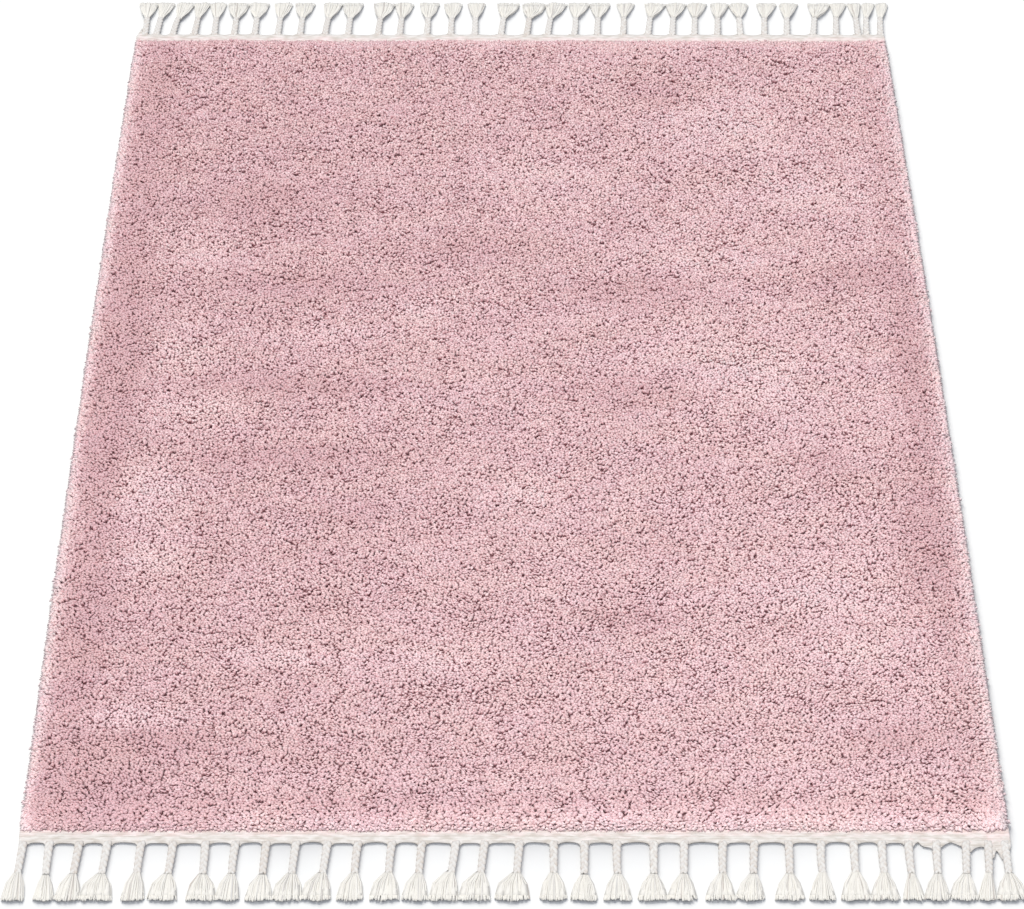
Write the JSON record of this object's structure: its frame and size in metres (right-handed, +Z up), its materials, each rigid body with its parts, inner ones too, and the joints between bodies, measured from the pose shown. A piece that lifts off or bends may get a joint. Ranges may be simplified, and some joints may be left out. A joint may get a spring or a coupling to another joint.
{
  "type": "shag rug",
  "caption": "Flat rectangular rug with a deep dusty-pink shag pile, overcast long sides, and a cream woven hem strip with plaited braids and cut tassels at each end.",
  "frame": {"origin": "on the floor, under the middle of the rug", "axes": "+Z up; +Y along the rug, from its front end to its back end; +X across it, to the right seen from the front"},
  "size_m": [1.2222, 1.886, 0.0312],
  "materials": {
    "pile_yarn": "soft matt twisted yarn, dusty pink, in a deep uneven pile",
    "fringe_yarn": "matt cream cotton warp, woven in the strip, plaited in the braids and loose in the tassels",
    "binding_yarn": "matt pale overcast yarn"
  },
  "bodies": {
    "root": {"pile": "pile_yarn", "fringe_front": "fringe_yarn", "fringe_back": "fringe_yarn", "binding_left": "binding_yarn", "binding_right": "binding_yarn"}
  },
  "joints": []
}
